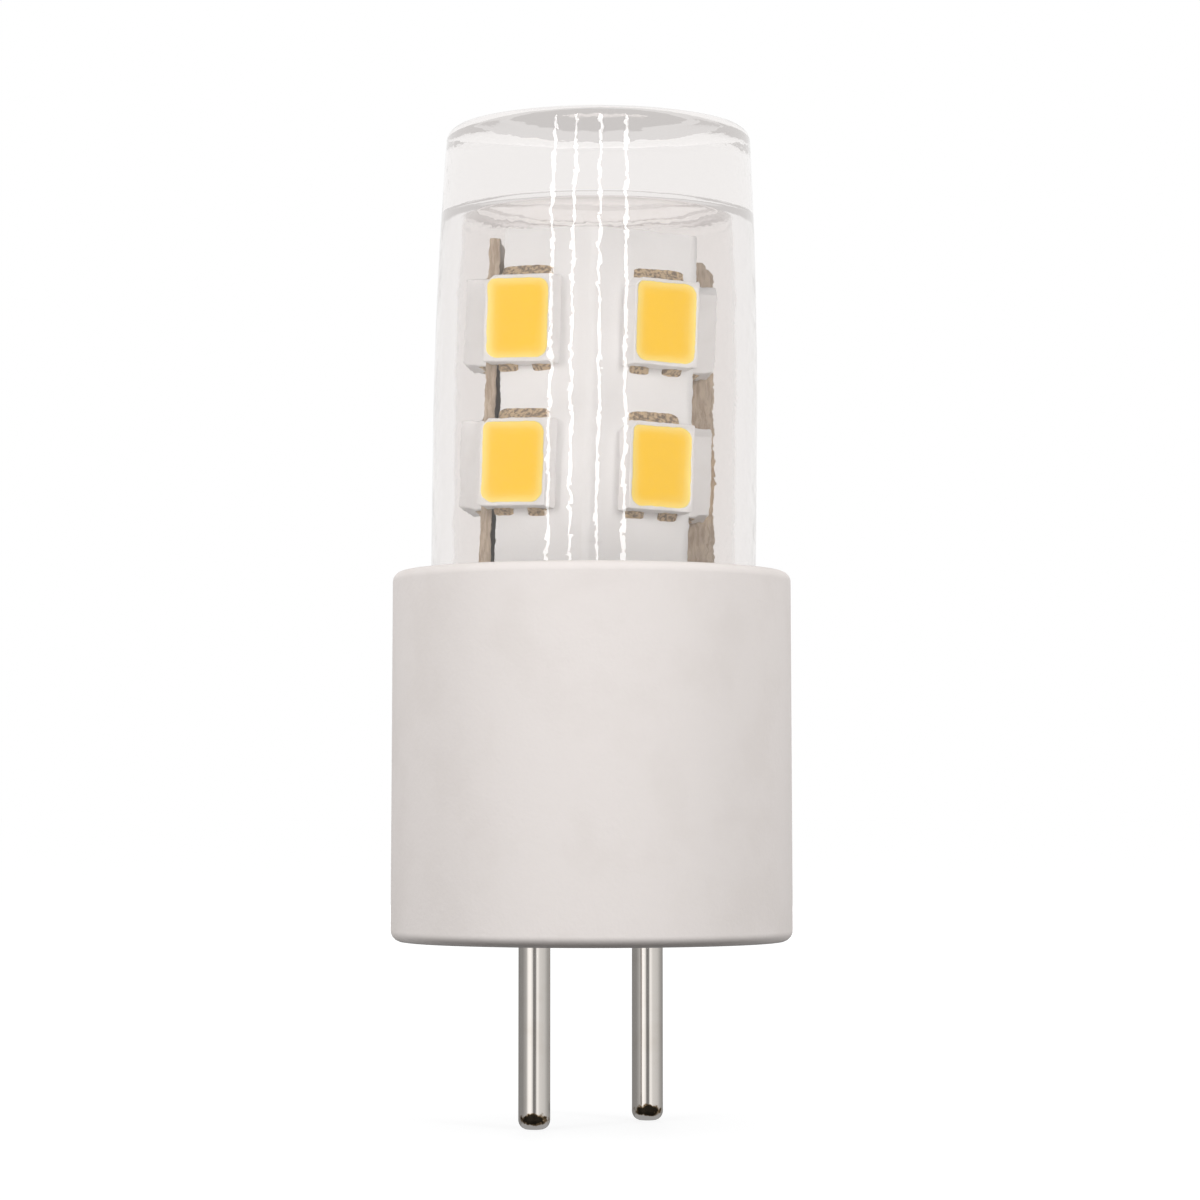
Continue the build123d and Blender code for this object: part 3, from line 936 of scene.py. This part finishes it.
class BULB_OT_stage(bpy.types.Operator):
    """Set the floor, the soft light and the camera"""

    bl_idname = "bulb.stage"
    bl_label = "Stage"

    def execute(self, context):
        stage = settings()[2]
        scene = context.scene
        scene.view_settings.view_transform = "Standard"
        self.world(scene, stage)
        self.floor(stage)
        self.surround(stage)
        self.lamps(stage)
        self.camera(scene, stage)
        return {"FINISHED"}

    def away(self, stage, bearing):
        """Level direction from the bulb's axis, at a bearing to the right of the camera."""
        angle = stage.azimuth + math.radians(bearing)
        return Vector((math.sin(angle), -math.cos(angle), 0))

    def card(self, name, bm, material):
        """Stage object from a bmesh."""
        mesh = bpy.data.meshes.new(name)
        bm.to_mesh(mesh)
        bm.free()
        mesh.materials.append(material)
        made = bpy.data.objects.new(name, mesh)
        bpy.context.scene.collection.objects.link(made)
        return made

    def mirrored_only(self, made):
        """Let only shiny surfaces show a card."""
        for ray in ("camera", "diffuse", "transmission", "volume_scatter", "shadow"):
            setattr(made, f"visible_{ray}", False)

    def world(self, scene, stage):
        """Fill light, with white behind the bulb that matt surfaces don't pick up."""
        scene.world = bpy.data.worlds.new("studio")
        nodes = Nodes(scene.world)
        fill = nodes.node(
            "ShaderNodeBackground",
            None,
            {"Color": rgb(stage.fill_colour), "Strength": stage.fill},
        )
        matt = nodes.node("ShaderNodeLightPath", out="Diffuse Depth").over(0.0, 1.0)
        white = nodes.node("ShaderNodeBackground", None, {"Color": rgb(WHITE)})
        dark = nodes.node("ShaderNodeBackground", None, {"Strength": 0.0})
        shown = nodes.node("ShaderNodeMixShader", None, {0: matt, 1: white, 2: dark})
        both = nodes.node("ShaderNodeMixShader", None, {0: nodes.seen(), 1: fill, 2: shown})
        nodes.node("ShaderNodeOutputWorld", None, {"Surface": both})

    def floor(self, stage):
        """White floor that keeps the shadow."""
        f = Finish("pale_floor")
        lit = f.node("ShaderNodeBsdfDiffuse", None, {"Color": rgb(stage.floor)})
        glow = f.node("ShaderNodeEmission", None, {"Color": rgb(WHITE), "Strength": FLOOR_GLOW})
        dark = f.node("ShaderNodeEmission", None, {"Strength": 0.0})
        own = f.node("ShaderNodeMixShader", None, {0: f.seen(), 1: dark, 2: glow})
        both = f.node("ShaderNodeAddShader", None, {0: lit, 1: own})
        bm = bmesh.new()
        bmesh.ops.create_grid(bm, x_segments=1, y_segments=1, size=FLOOR_HALF * MM)
        made = self.card("floor", bm, f.done(both))
        made.location.z = CAD_BOX[0][2]
        made.visible_glossy = False

    def surround(self, stage):
        """Grey studio that only shiny surfaces show: a round wall and an apron at its foot."""
        f = Finish("studio_wall")
        bearing = f.node("ShaderNodeAttribute", {"attribute_name": "bearing"}, out="Fac")
        stops = [
            ((degrees + 180) / 360, rgb([grey * part for part in WALL_TINT]))
            for degrees, grey in WALL_GREYS
        ]
        ramp = f.node("ShaderNodeValToRGB", {"stops": stops}, {0: bearing})
        lit = f.done(f.node("ShaderNodeEmission", None, {"Color": ramp}))
        bm = bmesh.new()
        layer = bm.verts.layers.float.new("bearing")
        posts = []
        for k in range(WALL_STEPS + 1):
            share = k / WALL_STEPS
            out = self.away(stage, share * 360 - 180) * WALL_RADIUS * MM
            heights = (Vector((0, 0, z * MM)) for z in (WALL_LOW, WALL_HIGH))
            posts.append([bm.verts.new(out + height) for height in heights])
            for vert in posts[-1]:
                vert[layer] = share
        for near, far in zip(posts, posts[1:]):
            bm.faces.new((near[0], far[0], far[1], near[1]))
        rim = [low.co.copy() for low, high in posts[:-1]]
        self.mirrored_only(self.card("studio_wall", bm, lit))
        f = Finish("studio_apron")
        bm = bmesh.new()
        bm.faces.new([bm.verts.new(place) for place in rim])
        lit = f.done(f.node("ShaderNodeEmission", None, {"Strength": APRON_GREY}))
        self.mirrored_only(self.card("studio_apron", bm, lit))

    def lamp(self, stage, name, bearing, distance, low, high, width, power):
        """Upright area light, turned to face the bulb's axis."""
        data = bpy.data.lights.new(name, "AREA")
        data.shape = "RECTANGLE"
        data.size = width * MM
        data.size_y = (high - low) * MM
        data.energy = power
        made = bpy.data.objects.new(name, data)
        away = self.away(stage, bearing)
        made.location = away * distance * MM + Vector((0, 0, (low + high) / 2 * MM))
        made.rotation_euler = (-away).to_track_quat("-Z", "Y").to_euler()
        made.visible_camera = False
        made.visible_transmission = False
        bpy.context.scene.collection.objects.link(made)
        return made

    def lamps(self, stage):
        """Soft boxes that light matt surfaces, and strips that the cover mirrors."""
        for name, bearing in SOFT_BOXES:
            box = self.lamp(
                stage, name, bearing,
                distance=350, low=20, high=180, width=90, power=stage.box_power,
            )
            box.visible_glossy = False
        for i, (bearing, width) in enumerate(STRIPS):
            strip = self.lamp(
                stage, f"strip_{i + 1}", bearing,
                distance=300, low=8, high=200, width=width,
                power=stage.strip_power * width / STRIP_FULL_WIDTH,
            )
            strip.visible_diffuse = False

    def camera(self, scene, stage):
        data = bpy.data.cameras.new("camera")
        data.sensor_width = 36.0
        data.lens = stage.lens
        data.clip_start = 5 * MM
        made = bpy.data.objects.new("camera", data)
        made.location = self.away(stage, 0) * stage.distance + Vector((0, 0, stage.eye))
        target = self.away(stage, 90) * stage.aside + Vector((0, 0, stage.aim))
        made.rotation_euler = (target - made.location).to_track_quat("-Z", "Y").to_euler()
        scene.collection.objects.link(made)
        scene.camera = made


OPERATORS = (
    BULB_OT_shell,
    BULB_OT_boards,
    BULB_OT_packages,
    BULB_OT_solder,
    BULB_OT_driver,
    BULB_OT_stage,
)


class BULB_PT_panel(bpy.types.Panel):
    """Steps that dress the bulb, in order"""

    bl_idname = "BULB_PT_panel"
    bl_label = "Bi-pin bulb"
    bl_space_type = "VIEW_3D"
    bl_region_type = "UI"
    bl_category = "Bulb"

    def draw(self, context):
        for operator in OPERATORS:
            self.layout.operator(operator.bl_idname)
        for group in settings():
            box = self.layout.box()
            for key in group.bl_rna.properties.keys():
                if key not in ("rna_type", "name"):
                    box.prop(group, key)


GROUPS = {"bulb_shell": BulbShell, "bulb_column": BulbColumn, "bulb_stage": BulbStage}
CLASSES = (*GROUPS.values(), *OPERATORS, BULB_PT_panel)


def register():
    for made in CLASSES:
        bpy.utils.register_class(made)
    for key, group in GROUPS.items():
        setattr(bpy.types.Scene, key, bpy.props.PointerProperty(type=group))


def unregister():
    for key in GROUPS:
        delattr(bpy.types.Scene, key)
    for made in reversed(CLASSES):
        bpy.utils.unregister_class(made)


def main():
    register()
    bpy.ops.bulb.shell()
    bpy.ops.bulb.boards()
    bpy.ops.bulb.packages()
    bpy.ops.bulb.solder()
    bpy.ops.bulb.driver()
    bpy.ops.bulb.stage()


if __name__ == "__main__":
    main()
